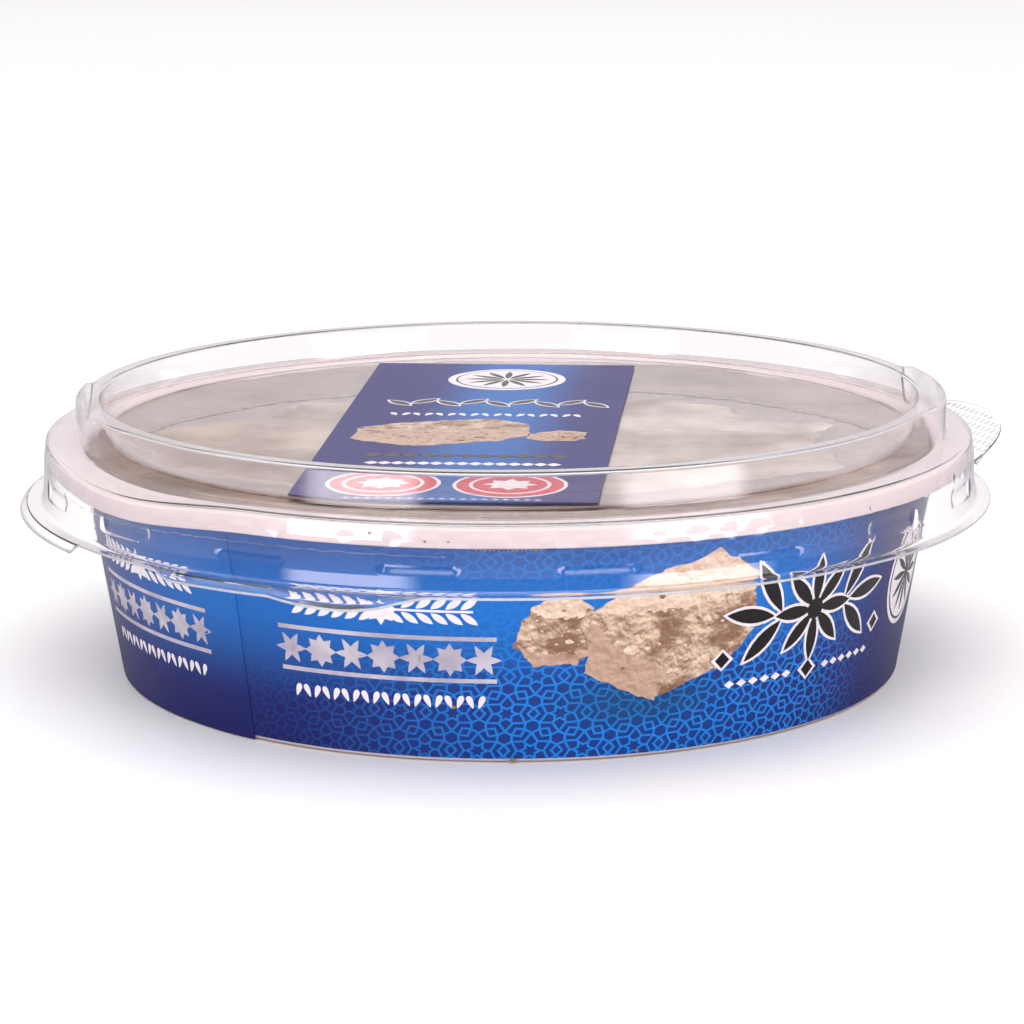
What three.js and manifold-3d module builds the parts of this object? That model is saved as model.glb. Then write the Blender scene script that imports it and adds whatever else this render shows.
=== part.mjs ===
// Round tub of halva with a clear snap lid, a printed label wrapped round the wall and a
// label on the lid. Millimetres, +Z up. The origin is the middle of the tub's flat base.
//
// Bearings are in degrees, seen from above: 0 is the front (-Y), 90 the right (+X),
// 180 the back and 270 the left.
import * as THREE from "three";
import { mergeVertices } from "three/addons/utils/BufferGeometryUtils.js";
import Module from "manifold-3d";

const wasm = await Module();
wasm.setup();

// ---------------------------------------------------------------- driving dimensions
const SEGMENTS = 72; // facets round every turned piece
const GAP = 0.25; // clearance between neighbouring pieces
const SHAVE = 0.03; // how far a joined form lies inside the faces that it joins

// tub, moulded white plastic
const BASE_RADIUS = 56.65; // outside of the wall at the base
const WALL_SLOPE = 0.1635; // growth of the radius for each millimetre of height
const WALL = 0.7;
const FLOOR = 1.0;
const HEEL = 0.5; // chamfer round the base
const FLOOR_CORNER = 1.8; // rounding between floor and wall, inside
const RIM_TOP = 33.85; // height of the tub's rim
const RIM_RADIUS = 66.8;
const RIM_DROP = 2.6; // height of the rim's outer face
const RIM_PLATE = 0.9;
const RIM_EDGE = 0.5; // chamfer round the rim's outer edge
const MOUTH_RADIUS = 62.4; // where the rim turns down into the wall
const MOUTH_DEPTH = 1.1; // height of that turn

// lid, one clear sheet
const SHEET = 0.5;
const PANEL_TOP = 34.6; // top of the flat panel and of the shoulder
const RING_TOP = 40.15; // top of the raised stacking ring
const RING_INNER = 59.2;
const RING_OUTER = 61.75;
const RING_FOOT_INNER = 58.3;
const RING_FOOT_OUTER = 62.7;
const SKIRT_TOP = 67.45; // radius where the skirt leaves the shoulder
const SKIRT_FOOT = 67.75;
const BRIM_TOP = 25.6;
const BRIM_RADIUS = 70;

// small forms of the lid
const LUG_COUNT = 18; // snap lugs pressed into the skirt under the rim
const LUG_FIRST = 10; // bearing of the first lug
const LUG_LENGTH = 12;
const LUG_HEIGHT = 2.6;
const LUG_MIDDLE = 29.1; // height of the lugs' middle
const LUG_DEPTH = 0.6;
const LUG_TAPER = 0.7; // how much shorter each end is on the pressed-in side
const PADS = [
  // low bands on the outside of the ring; `rise` and `fall` are the shares that fade out
  { from: 68, to: 105, reach: 62.95, rise: 0.28, fall: 0 },
  { from: -94.5, to: -54, reach: 62.45, rise: 0, fall: 0.3 },
];
const LIP = { reach: 1.1, drop: 0.95 }; // turned-down edge of the brim
const LIPS = [
  { from: -96.5, to: -57, fade: 0 },
  { from: -41.5, to: -8, fade: 0.16 },
];
const THUMB = { from: -26, peak: -17, to: -12, reach: 2.6, drop: 0.4 }; // bulge of the lip
const GRIP = { bearing: 114, width: 33, length: 11.5, lift: 30 }; // pull tab, back right
const RIB = { width: 0.5, height: 0.18, pitch: 2.75, count: 6 }; // ribs on the pull tab

// contents: pressed flat against the panel in the middle, a little lower round it
const HALVA_TOP = PANEL_TOP - SHEET - GAP;
const HALVA_SINK = 0.45; // how far the border lies under the middle
const CONTACT_RADIUS = 46; // mean radius of the pressed middle
const CONTACT_SHIFT = 6; // how far the pressed middle reaches past that at the front

// wrap label
const LABEL_SHEET = 0.2;
const LABEL_OFF = 0.15; // clearance between label and wall
const LABEL_BOTTOM = 0.72;
const LABEL_TOP = 30.7;
const LABEL_SKEW = 0.58; // how much lower the end of the wrap lies than its start
const LABEL_STEP = 0.28; // how far the end stands out where it lies over the start
const SEAM = -37.2; // bearing of the visible end of the wrap
const OVERLAP = 5.8; // degrees of label under that end

// lid label
const STICKER = { width: 41, length: 104, turn: -4.7, x: -4.6, y: -2.2, sheet: 0.22 };
const STICKER_OFF = 0.12; // clearance between label and panel
const STICKER_EDGE = 0.9; // how far its cut corners stay inside the ring's foot

// ---------------------------------------------------------------- helpers
const rad = THREE.MathUtils.degToRad;
const lerp = THREE.MathUtils.lerp;
const smoothstep = THREE.MathUtils.smoothstep;
const wallRadius = (height) => BASE_RADIUS + WALL_SLOPE * height;

/** Corner list to outline: every corner is rounded, and the whole lies `depth` below. */
function roundedPath(corners, depth) {
  const sharpest = 0.05;
  const sides = [];
  for (let i = 0; i + 1 < corners.length; i++) {
    const start = new THREE.Vector2(corners[i].r, corners[i].z);
    const end = new THREE.Vector2(corners[i + 1].r, corners[i + 1].z);
    const run = end.clone().sub(start).normalize();
    const inward = new THREE.Vector2(run.y, -run.x);
    sides.push({ start: start.addScaledVector(inward, depth), run });
  }
  const path = [sides[0].start];
  for (let i = 1; i < sides.length; i++) {
    const [a, b] = [sides[i - 1], sides[i]];
    const turn = a.run.cross(b.run);
    const reach = b.start.clone().sub(a.start).cross(b.run) / turn;
    const corner = a.start.clone().addScaledVector(a.run, reach);
    const radius = corners[i].round + (turn > 0 ? depth : -depth);
    if (radius < sharpest) {
      path.push(corner);
      continue;
    }
    const angle = Math.asin(turn);
    const back = radius * Math.tan(Math.abs(angle) / 2);
    const side = new THREE.Vector2(-a.run.y, a.run.x).multiplyScalar(Math.sign(turn));
    const centre = corner.clone().addScaledVector(a.run, -back).addScaledVector(side, radius);
    for (let k = 0; k <= corners[i].steps; k++) {
      const spoke = side.clone().multiplyScalar(-radius);
      spoke.rotateAround(new THREE.Vector2(), (angle * k) / corners[i].steps);
      path.push(centre.clone().add(spoke));
    }
  }
  const last = corners[corners.length - 1];
  const { run } = sides[sides.length - 1];
  path.push(new THREE.Vector2(last.r + run.y * depth, last.z - run.x * depth));
  return path;
}

/** Closed outline of [radius, height] points, anticlockwise, turned round Z. */
function turned(outline) {
  const points = outline.map(([r, z]) => new THREE.Vector2(r, z));
  return new THREE.LatheGeometry(points, SEGMENTS).rotateX(Math.PI / 2);
}

/** Geometry to a solid that can be joined and cut: only places, shared corners merged. */
function toSolid(geometry) {
  const copy = geometry.clone();
  copy.deleteAttribute("normal");
  copy.deleteAttribute("uv");
  const merged = mergeVertices(copy, 1e-4);
  const vertProperties = new Float32Array(merged.attributes.position.array);
  const triVerts = new Uint32Array(merged.index.array);
  return new wasm.Manifold(new wasm.Mesh({ numProp: 3, vertProperties, triVerts }));
}

function toGeometry(solid) {
  const mesh = solid.getMesh();
  const geometry = new THREE.BufferGeometry();
  geometry.setAttribute("position", new THREE.BufferAttribute(mesh.vertProperties, 3));
  geometry.setIndex(new THREE.BufferAttribute(mesh.triVerts, 1));
  return geometry;
}

/** Turns a geometry built facing the front to a bearing. */
function toBearing(geometry, bearing) {
  return geometry.rotateZ(rad(bearing));
}

/** Point at a bearing and radius in plan. */
function polar(bearing, radius) {
  return new THREE.Vector2(radius * Math.sin(rad(bearing)), -radius * Math.cos(rad(bearing)));
}

/** Flat plate from a plan outline, between two heights. */
function plate(outline, bottom, top) {
  const options = { depth: top - bottom, bevelEnabled: false };
  return new THREE.ExtrudeGeometry(new THREE.Shape(outline), options).translate(0, 0, bottom);
}

/** Moves every corner of a geometry by a function of its place. */
function reshape(geometry, move) {
  const places = geometry.attributes.position;
  const point = new THREE.Vector3();
  for (let i = 0; i < places.count; i++) {
    point.fromBufferAttribute(places, i);
    move(point);
    places.setXYZ(i, point.x, point.y, point.z);
  }
  return geometry;
}

function meshOf(name, geometry, look) {
  const mesh = new THREE.Mesh(geometry, new THREE.MeshStandardMaterial(look));
  mesh.name = name;
  return mesh;
}

// ---------------------------------------------------------------- tub
/** Thin cone on a flat floor; the rim turns outwards and down. */
function buildTub() {
  const floorInner = wallRadius(FLOOR) - WALL;
  const plateBottom = RIM_TOP - RIM_PLATE;
  const rimInner = RIM_RADIUS - RIM_PLATE;
  const rimBottom = RIM_TOP - RIM_DROP;
  const mouthFoot = RIM_TOP - MOUTH_DEPTH;
  const cornerTop = FLOOR + FLOOR_CORNER;
  const tub = turned([
    [0, 0],
    [BASE_RADIUS - HEEL, 0],
    [wallRadius(HEEL), HEEL],
    [wallRadius(plateBottom), plateBottom],
    [rimInner, plateBottom],
    [rimInner, rimBottom],
    [RIM_RADIUS, rimBottom],
    [RIM_RADIUS, RIM_TOP - RIM_EDGE],
    [RIM_RADIUS - RIM_EDGE, RIM_TOP],
    [MOUTH_RADIUS + 0.25, RIM_TOP],
    [MOUTH_RADIUS - 0.45, RIM_TOP - 0.3],
    [wallRadius(mouthFoot) - WALL, mouthFoot],
    [wallRadius(cornerTop) - WALL, cornerTop],
    [floorInner - FLOOR_CORNER / 4, FLOOR + FLOOR_CORNER / 4],
    [floorInner - FLOOR_CORNER, FLOOR],
    [0, FLOOR],
  ]);
  return meshOf("tub", tub, { color: 0xf4eef0, roughness: 0.35, metalness: 0 });
}

// ---------------------------------------------------------------- halva
/** Drop of the halva's top below the pressed middle, whose outline is ragged. */
function halvaDrop(point) {
  const radius = Math.hypot(point.x, point.y);
  const bearing = Math.atan2(point.x, -point.y);
  const ragged = 3 * Math.sin(3 * bearing + 0.6) + 2 * Math.sin(5 * bearing + 2.1);
  const contact = CONTACT_RADIUS + ragged + CONTACT_SHIFT * Math.cos(bearing - 0.3);
  const sunk = smoothstep(radius, contact - 1.5, contact + 2.5);
  const lumps = 0.5 + 0.5 * Math.sin(point.x * 0.31 + 1) * Math.cos(point.y * 0.27);
  return HALVA_SINK * sunk * (0.65 + 0.35 * lumps);
}

/** One block that fills the tub up to the lid's panel. */
function buildHalva() {
  const underside = FLOOR + GAP;
  const sideGap = WALL + GAP;
  const cornerTop = underside + FLOOR_CORNER + GAP;
  const shoulder = HALVA_TOP - MOUTH_DEPTH;
  const topRings = [61.6, 58.5, 55, 51, 48, 45, 42, 38, 30, 18];
  const block = turned([
    [0, underside],
    [wallRadius(underside) - sideGap - FLOOR_CORNER - GAP, underside],
    [wallRadius(cornerTop) - sideGap, cornerTop],
    [wallRadius(shoulder) - sideGap, shoulder],
    ...topRings.map((radius) => [radius, HALVA_TOP]),
    [0, HALVA_TOP],
  ]);
  reshape(block, (point) => {
    if (point.z > shoulder + GAP) point.z -= halvaDrop(point);
  });
  return meshOf("halva", block, { color: 0xd2c3b4, roughness: 0.75, metalness: 0 });
}

// ---------------------------------------------------------------- lid
/** The sheet: flat panel, raised hollow ring, shoulder, skirt and brim. */
function lidSheet() {
  const corners = [
    { r: 0, z: PANEL_TOP },
    { r: RING_FOOT_INNER, z: PANEL_TOP, round: 0.8, steps: 1 },
    { r: RING_INNER, z: RING_TOP, round: 0.5, steps: 1 },
    { r: RING_OUTER, z: RING_TOP, round: 0.7, steps: 2 },
    { r: RING_FOOT_OUTER, z: PANEL_TOP, round: 0.8, steps: 1 },
    { r: SKIRT_TOP, z: PANEL_TOP, round: 1.3, steps: 3 },
    { r: SKIRT_FOOT, z: BRIM_TOP, round: 0.7, steps: 1 },
    { r: BRIM_RADIUS, z: BRIM_TOP },
  ];
  const upper = roundedPath(corners, 0);
  const under = roundedPath(corners, SHEET);
  return turned([...under, ...upper.reverse()].map((point) => [point.x, point.y]));
}

/** Block at the front whose inner face is shorter and lower than its outer one. */
function lugBlock(length, height, inner, outer) {
  const block = new THREE.BoxGeometry(length, outer - inner, height);
  reshape(block, (point) => {
    if (point.y > 0) return;
    point.x += Math.sign(point.x) * LUG_TAPER;
    point.z += Math.sign(point.z) * LUG_TAPER;
  });
  return block.translate(0, -(inner + outer) / 2, LUG_MIDDLE);
}

/** Snap lugs: pressed in from outside, standing proud inside. */
function addLugs(lid) {
  const skirt = SKIRT_TOP + 0.15;
  const pressed = skirt - LUG_DEPTH;
  const wallEach = 2 * 0.6;
  let result = lid;
  for (let i = 0; i < LUG_COUNT; i++) {
    const bearing = LUG_FIRST + (i * 360) / LUG_COUNT;
    const boss = lugBlock(LUG_LENGTH, LUG_HEIGHT, pressed - SHEET, skirt - SHEET / 2);
    const dent = lugBlock(LUG_LENGTH - wallEach, LUG_HEIGHT - wallEach, pressed, skirt + 0.8);
    result = result.add(toSolid(toBearing(boss, bearing)));
    result = result.subtract(toSolid(toBearing(dent, bearing)));
  }
  return result;
}

/** Strip that follows the ring, `inset` inside the faces of its pad. */
function padBlock({ from, to, reach, rise, fall }, inset) {
  const strip = new THREE.BoxGeometry(1, 1, 1, 8, 1, 1);
  const trim = inset / rad(reach);
  const inner = RING_OUTER - 1.2 - inset;
  const bottom = PANEL_TOP - 0.22;
  const top = RING_TOP - SHAVE - inset;
  return reshape(strip, (point) => {
    const share = point.x + 0.5;
    const swell = smoothstep(share, -0.01, rise) * (1 - smoothstep(share, 1 - fall, 1.01));
    const outer = lerp(RING_OUTER - 0.8, reach, swell) - inset;
    const place = polar(lerp(from + trim, to - trim, share), point.y < 0 ? outer : inner);
    point.set(place.x, place.y, point.z > 0 ? top : bottom);
  });
}

/** Low pads on the outside of the ring, hollow like the ring. */
function addPads(lid) {
  let result = lid;
  for (const pad of PADS) {
    result = result.add(toSolid(padBlock(pad, 0)));
    result = result.subtract(toSolid(padBlock(pad, SHEET)));
  }
  return result;
}

/** How far the thumb tab stands out of the lip at a bearing, from 0 to 1. */
function thumbSwell(bearing) {
  const end = bearing < THUMB.peak ? THUMB.from : THUMB.to;
  const share = (bearing - THUMB.peak) / (end - THUMB.peak);
  return Math.cos((Math.PI / 2) * Math.min(share, 1));
}

/** Lip along the brim: level up to the brim's edge, then turned down. */
function lip({ from, to, fade }) {
  const strip = new THREE.BoxGeometry(1, 1, 1, Math.round((to - from) / 2.4), 2, 1);
  return reshape(strip, (point) => {
    const bearing = lerp(from, to, point.x + 0.5);
    const strength = 1 - 0.85 * smoothstep(point.x, 0.5 - fade, 0.51);
    const thumb = thumbSwell(bearing);
    let radius = BRIM_RADIUS + 0.05;
    let height = point.z > 0 ? BRIM_TOP - SHAVE : BRIM_TOP - SHEET + SHAVE;
    if (point.y > 0.25) radius -= 0.8;
    if (point.y < -0.25) {
      radius += LIP.reach * strength + THUMB.reach * thumb;
      height -= LIP.drop * strength + THUMB.drop * thumb;
    }
    const place = polar(bearing, radius);
    point.set(place.x, place.y, height);
  });
}

/** Plan of the pull tab, in front of the origin: straight root, rounded end. */
function gripOutline() {
  const steps = 16;
  const squareness = 2 / 2.5;
  const half = GRIP.width / 2;
  const root = 1.6;
  const outline = [new THREE.Vector2(half, root), new THREE.Vector2(-half, root)];
  for (let i = 0; i <= steps; i++) {
    const turn = (Math.PI * i) / steps;
    const across = -Math.sign(Math.cos(turn)) * Math.abs(Math.cos(turn)) ** squareness;
    const along = Math.sin(turn) ** squareness;
    outline.push(new THREE.Vector2(across * half, -along * GRIP.length));
  }
  return outline;
}

/** Pull tab at the back right: a rounded plate with crossed ribs, bent upwards. */
function gripTab() {
  const outline = gripOutline();
  let tab = toSolid(plate(outline, -(SHEET - 2 * SHAVE), 0));
  const ribArea = toSolid(plate(outline, -0.05, RIB.height).scale(0.88, 0.9, 1));
  for (const angle of [45, -45]) {
    for (let i = -RIB.count; i <= RIB.count; i++) {
      const rib = new THREE.BoxGeometry(2 * GRIP.width, RIB.width, 2 * RIB.height + 0.1);
      rib.translate(0, i * RIB.pitch, 0).rotateZ(rad(angle)).translate(0, -GRIP.length / 2, 0);
      tab = tab.add(toSolid(rib).intersect(ribArea));
    }
  }
  const bent = toGeometry(tab).rotateX(rad(-GRIP.lift));
  bent.translate(0, -(BRIM_RADIUS - 0.5), BRIM_TOP - SHAVE);
  const insideSkirt = turned([
    [0, 0],
    [SKIRT_FOOT + 0.3, 0],
    [SKIRT_FOOT + 0.3, RING_TOP],
    [0, RING_TOP],
  ]);
  return toSolid(toBearing(bent, GRIP.bearing)).subtract(toSolid(insideSkirt));
}

function buildLid() {
  let lid = addLugs(addPads(toSolid(lidSheet())));
  for (const edge of LIPS) lid = lid.add(toSolid(lip(edge)));
  lid = lid.add(gripTab());
  const clear = { roughness: 0.05, metalness: 0, transparent: true, opacity: 0.35 };
  return meshOf("lid", toGeometry(lid), { color: 0xf2eef2, ...clear });
}

// ---------------------------------------------------------------- wrap label
/** One strip wrapped once round the wall, its end lying over its start. */
function buildWrapLabel() {
  const start = SEAM - OVERLAP;
  const sweep = 360 + OVERLAP;
  const rise = 3; // degrees over which the end climbs onto the start
  const strip = new THREE.BoxGeometry(1, 1, 1, SEGMENTS + 2, 1, 1);
  reshape(strip, (point) => {
    const share = point.x + 0.5;
    const edge = point.z > 0 ? LABEL_TOP : LABEL_BOTTOM;
    const height = edge - LABEL_SKEW * share;
    const climb = LABEL_STEP * smoothstep(sweep * share, 360 - rise, 360);
    const layer = LABEL_OFF + climb + (point.y < 0 ? LABEL_SHEET : 0);
    const place = polar(start + sweep * share, wallRadius(height) + layer);
    point.set(place.x, place.y, height);
  });
  return meshOf("wrap_label", strip, { color: 0x1f4fb0, roughness: 0.3, metalness: 0 });
}

// ---------------------------------------------------------------- lid label
/** Paper label on the panel, its corners cut round where they meet the ring. */
function buildLidLabel() {
  const { width, length, turn, x, y, sheet } = STICKER;
  const bottom = PANEL_TOP + STICKER_OFF;
  const paper = new THREE.BoxGeometry(width, length, sheet);
  paper.rotateZ(rad(turn)).translate(x, y, bottom + sheet / 2);
  const edge = RING_FOOT_INNER - STICKER_EDGE;
  const panel = new THREE.CylinderGeometry(edge, edge, 4 * sheet, SEGMENTS);
  panel.rotateX(Math.PI / 2).translate(0, 0, bottom);
  const cut = toSolid(paper).intersect(toSolid(panel));
  return meshOf("lid_label", toGeometry(cut), { color: 0x2a4fa2, roughness: 0.3, metalness: 0 });
}

// ---------------------------------------------------------------- whole
const pack = new THREE.Group();
pack.add(buildTub());
pack.add(buildHalva());
pack.add(buildLid());
pack.add(buildWrapLabel());
pack.add(buildLidLabel());

export default pack;
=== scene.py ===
import math
import random
from functools import partial

import bmesh
import bpy
from mathutils import Matrix, Vector, noise


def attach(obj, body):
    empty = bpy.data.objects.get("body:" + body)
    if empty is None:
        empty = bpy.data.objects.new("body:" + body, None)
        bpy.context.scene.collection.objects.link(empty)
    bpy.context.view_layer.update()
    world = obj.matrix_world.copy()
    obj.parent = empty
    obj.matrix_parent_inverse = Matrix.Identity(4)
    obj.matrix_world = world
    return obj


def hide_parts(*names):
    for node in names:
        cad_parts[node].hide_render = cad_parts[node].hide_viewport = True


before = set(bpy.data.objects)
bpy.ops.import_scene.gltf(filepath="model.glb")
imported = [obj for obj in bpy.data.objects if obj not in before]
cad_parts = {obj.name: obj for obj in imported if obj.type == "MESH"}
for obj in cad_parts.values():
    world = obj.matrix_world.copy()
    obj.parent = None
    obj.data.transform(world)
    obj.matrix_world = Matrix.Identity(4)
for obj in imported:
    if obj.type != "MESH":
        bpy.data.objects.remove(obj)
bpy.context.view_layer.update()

MM = 0.001

# --- sizes in mm, as in the CAD but for a thinner sheet, which shows clearer
BASE_RADIUS = 56.65
WALL_SLOPE = 0.1635
WALL = 0.7
RIM_TOP = 33.85
RIM_RADIUS = 66.8
RIM_FLAT = 62.4  # where the rim's flat top begins
SHEET = 0.34
PANEL_TOP = 34.6
PANEL_RADIUS = 58.3
RING_TOP = 40.15
RING_RISE = RING_TOP - PANEL_TOP
RING_OUTER = 61.75
RING_FOOT_OUTER = 62.7
SKIRT_TOP = 67.45
SKIRT_FOOT = 67.75
BRIM_TOP = 25.6
BRIM_RADIUS = 70
BRIM_FOLD = 69.6  # where the lips turn down
LUG_FIRST = 10
LUG_PITCH = 20
LUG_MIDDLE = 29.1
LUG_HALF = 1.3
LUG_LENGTH = 11.3
LUG_DEPTH = 0.42
# Pads on the ring: crisp back end, where the front end starts and stops fading, and reach.
PADS = ((105, 78, 68, 63.35), (-94.5, -66, -54, 62.75))
# Turned-down lips of the brim: bearings, and over how many degrees each end runs out.
LIPS = ((-96.5, -57, 0.05, 0.05), (-43, -8, 4.5, 5.5))
LIP = {"reach": 1.1, "drop": 0.95}
THUMB = {"from": -26, "peak": -17, "to": -12, "reach": 2.6, "drop": 0.4}
SAG = {"from": -80, "peak": -52, "to": -30, "depth": 1.3, "above": 30}
GRIP = {"bearing": 114, "width": 33, "length": 11.5, "lift": 30, "pitch": 1.38,
        "groove": 0.08}
LABEL_START = -43.0
LABEL_SWEEP = 365.8
LABEL_BOTTOM = 0.72
LABEL_TOP = 30.7
LABEL_SKEW = 0.58
LABEL_OFF = 0.2
LABEL_SHEET = 0.08
LABEL_STEP = 0.1
STICKER = {"width": 41, "length": 104, "turn": -4.7, "x": -4.6, "y": -2.2}
STICKER_BOTTOM = PANEL_TOP + 0.12
STICKER_TOP = STICKER_BOTTOM + 0.22


# --- small tools
def wall_radius(height):
    return BASE_RADIUS + WALL_SLOPE * height


def lerp(a, b, share):
    return a + (b - a) * share


def smooth(value, low, high):
    share = min(max((value - low) / (high - low), 0), 1)
    return share * share * (3 - 2 * share)


def polar(bearing, radius, height):
    turn = math.radians(bearing)
    return Vector((radius * math.sin(turn), -radius * math.cos(turn), height))


def bearing_of(point):
    return math.degrees(math.atan2(point.x, -point.y))


def swell(bearing, form):
    """How full a form is at a bearing: 1 at its peak, and 0 past its ends."""
    end = form["from"] if bearing < form["peak"] else form["to"]
    return math.cos(math.pi / 2 * min((bearing - form["peak"]) / (end - form["peak"]), 1))


def sag(bearing):
    """How far tub rim and lid shoulder hang down at the left front, where they are pressed."""
    return SAG["depth"] * swell(bearing, SAG) ** 2


def linear(code):
    """sRGB hex colour to linear red, green, blue and alpha."""
    parts = [int(code[i:i + 2], 16) / 255 for i in (1, 3, 5)]
    return [p / 12.92 if p <= 0.04045 else ((p + 0.055) / 1.055) ** 2.4 for p in parts] + [1]


# What the second word of a node's kind sets, the output that counts where it isn't the
# first, and the inputs of a mix that its share and its two ends go to.
MAIN_SETTING = {"Math": "operation", "VectorMath": "operation", "Mix": "data_type",
                "MapRange": "interpolation_type"}
MAIN_OUTPUT = {"TexCoord": 3, "Mix RGBA": 2, "Mix VECTOR": 1, "VectorMath LENGTH": 1,
               "VectorMath DOT_PRODUCT": 1}
MIX_INPUTS = {"Mix RGBA": (0, 6, 7), "Mix VECTOR": (0, 4, 5)}


def add_node(tree, kind, inputs=(), give=None, **settings):
    """Adds a node with its inputs, in order or by name (a value, a hex colour or another
    node's socket), and its settings. Gives its main output, or the one numbered `give`."""
    family, _, choice = kind.partition(" ")
    node = tree.nodes.new("ShaderNode" + family)
    if choice:
        setattr(node, MAIN_SETTING[family], choice)
    for name, value in settings.items():
        setattr(node, name, value)
    if isinstance(inputs, tuple):
        inputs = dict(zip(MIX_INPUTS.get(kind, range(len(inputs))), inputs))
    for key, value in inputs.items():
        if isinstance(value, bpy.types.NodeSocket):
            tree.links.new(value, node.inputs[key])
        else:
            node.inputs[key].default_value = linear(value) if isinstance(value, str) else value
    if node.outputs:
        return node.outputs[MAIN_OUTPUT.get(kind, 0) if give is None else give]


def empty_tree(owner):
    """Clears the nodes of a material, lamp or world, and gives add_node for that tree."""
    owner.use_nodes = True
    owner.node_tree.nodes.clear()
    return partial(add_node, owner.node_tree)


def material(name, surface, *choices):
    """Material whose shader `surface` builds, from the place on the part and its choices."""
    made = bpy.data.materials.new(name)
    add = empty_tree(made)
    add("OutputMaterial", {"Surface": surface(add, add("TexCoord"), *choices)})
    return made


def to_object(name, bm, materials):
    """Mesh in millimetres to an object in metres."""
    bmesh.ops.scale(bm, vec=(MM, MM, MM), verts=bm.verts)
    mesh = bpy.data.meshes.new(name)
    bm.to_mesh(mesh)
    bm.free()
    for made in materials:
        mesh.materials.append(made)
    obj = bpy.data.objects.new(name, mesh)
    bpy.context.scene.collection.objects.link(obj)
    return obj


def piece(name, bm, materials, node=None, sharp=60):
    """Piece of the part, smooth but for edges sharper than `sharp` degrees."""
    obj = to_object(name, bm, materials)
    for face in obj.data.polygons:
        face.use_smooth = True
    obj.data.set_sharp_from_angle(angle=math.radians(sharp))
    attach(obj, "root")
    if node:
        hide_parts(node)


def map_print(bm, across=1):
    """Keeps each point's place on the flat label as the UV map of its print."""
    uv = bm.loops.layers.uv.new("print")
    for face in bm.faces:
        for loop in face.loops:
            loop[uv].uv = (loop.vert.co.x / across, loop.vert.co.y)


def thicken(bm, lift):
    """Copies the flat faces `lift` higher, joined by walls; gives the copy's vertices. The
    normals are turned outwards here, while the sheet is still flat."""
    made = bmesh.ops.extrude_face_region(bm, geom=bm.faces[:])
    moved = [v for v in made["geom"] if isinstance(v, bmesh.types.BMVert)]
    bmesh.ops.translate(bm, verts=moved, vec=(0, 0, lift))
    bmesh.ops.recalc_face_normals(bm, faces=bm.faces)
    return moved


def turned(profile, steps):
    """Outline of (radius, height) points spun once round Z; it is closed off the axis. One
    twelfth is spun and repeated, because spin takes long over many steps."""
    bm = bmesh.new()
    corners = [bm.verts.new((radius, 0, height)) for radius, height in profile]
    ends = corners[1:] + corners[:1] if profile[0][0] > 0 else corners[1:]
    edges = [bm.edges.new(pair) for pair in zip(corners, ends)]
    sectors = 12
    sector = 2 * math.pi / sectors
    bmesh.ops.spin(
        bm, geom=corners + edges, cent=(0, 0, 0), axis=(0, 0, 1), angle=sector,
        steps=steps // sectors, use_merge=False,
    )
    wedge = bm.verts[:] + bm.edges[:] + bm.faces[:]
    for k in range(1, sectors):
        copy = bmesh.ops.duplicate(bm, geom=wedge)["geom"]
        moved = [v for v in copy if isinstance(v, bmesh.types.BMVert)]
        turn = Matrix.Rotation(sector * k, 3, "Z")
        bmesh.ops.rotate(bm, verts=moved, cent=(0, 0, 0), matrix=turn)
    bmesh.ops.remove_doubles(bm, verts=bm.verts, dist=1e-4)
    bmesh.ops.recalc_face_normals(bm, faces=bm.faces)
    return bm


def rounded_path(corners, depth):
    """Corners (radius, height, rounding, steps) to an outline that lies `depth` below."""
    sides = []
    for a, b in zip(corners, corners[1:]):
        start, end = Vector(a[:2]), Vector(b[:2])
        run = (end - start).normalized()
        sides.append((start + depth * Vector((run.y, -run.x)), run))
    path = [sides[0][0]]
    for (start, run), (after, turn_to), corner in zip(sides, sides[1:], corners[1:]):
        turn = run.x * turn_to.y - run.y * turn_to.x
        gap = after - start
        point = start + run * ((gap.x * turn_to.y - gap.y * turn_to.x) / turn)
        radius = max(corner[2] + (depth if turn > 0 else -depth), 0.04)
        angle = math.asin(turn)
        back = radius * math.tan(abs(angle) / 2)
        side = Vector((-run.y, run.x)) * (1 if turn > 0 else -1)
        centre = point - run * back + side * radius
        for k in range(corner[3] + 1):
            part = angle * k / corner[3]
            spoke = Matrix.Rotation(part, 2) @ (-side * radius)
            path.append(centre + spoke)
    last, run = corners[-1], sides[-1][1]
    path.append(Vector((last[0] + run.y * depth, last[1] - run.x * depth)))
    return path


# --- materials
def clear_pet(add, place):
    """PET sheet, thermoformed: glass clear and glossy, its drawn walls faintly streaked and
    wavy, so that reflections ripple and edges read as thin grey lines."""
    # Waves about 12 mm long over the sheet, and draw marks 3 mm apart down the walls.
    wave = add("TexNoise", {"Vector": place, "Scale": 85, "Detail": 1})
    streak_place = add("Mapping", {"Vector": place, "Scale": (1, 1, 0.12)})
    streak = add("TexNoise", {"Vector": streak_place, "Scale": 330, "Detail": 1})
    height = add("Math MULTIPLY_ADD", (streak, 0.22, wave))
    bump = add("Bump", {"Height": height, "Distance": 0.0001, "Strength": 0.3})
    body = add("BsdfPrincipled", {
        "Base Color": "#fefdfd", "Roughness": 0.03, "IOR": 1.5, "Transmission Weight": 1.0,
        "Normal": bump,
    })
    through = add("BsdfTransparent", {"Color": "#f8f5f6"})
    shadow = add("LightPath", give=1)
    return add("MixShader", (shadow, body, through))


def cut_pet(add, place):
    """Die-cut edge of the PET sheet: frosted by the cut, so it reads as a thin pale line."""
    nick = add("TexNoise", {"Vector": place, "Scale": 900, "Detail": 2})
    tone = add("Mix RGBA", (nick, "#b9bac2", "#eceaee"))
    return add("BsdfPrincipled", {
        "Base Color": tone, "Roughness": 0.35, "IOR": 1.5, "Transmission Weight": 0.35,
    })


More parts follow.
